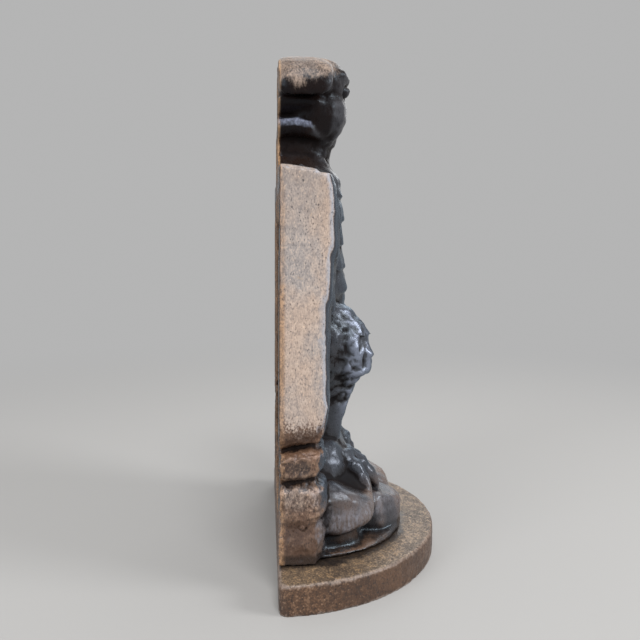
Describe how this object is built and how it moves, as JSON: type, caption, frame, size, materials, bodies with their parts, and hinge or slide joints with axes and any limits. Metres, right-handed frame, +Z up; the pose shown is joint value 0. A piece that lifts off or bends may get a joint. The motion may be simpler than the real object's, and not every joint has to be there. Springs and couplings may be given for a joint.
{
  "type": "doorstop",
  "caption": "Flat-backed cast iron doorstop: an eagle with hanging wings on a rocky mound, hollow behind, screwed to a half-round base plate.",
  "frame": {"origin": "middle of the object's footprint, on the floor", "axes": "+Z up, -Y the modelled front, +Y the flat back; the eagle looks towards -X"},
  "size_m": [0.1198, 0.06, 0.18],
  "materials": {
    "cast_iron": "as cast, dark brown-black wax or old paint, worn at the edges",
    "aged_steel": "darkened slotted screws"
  },
  "bodies": {
    "root": {"figure_casting": "cast_iron", "base_plate": "cast_iron", "base_screw_left": "aged_steel", "base_screw_right": "aged_steel"}
  },
  "joints": []
}
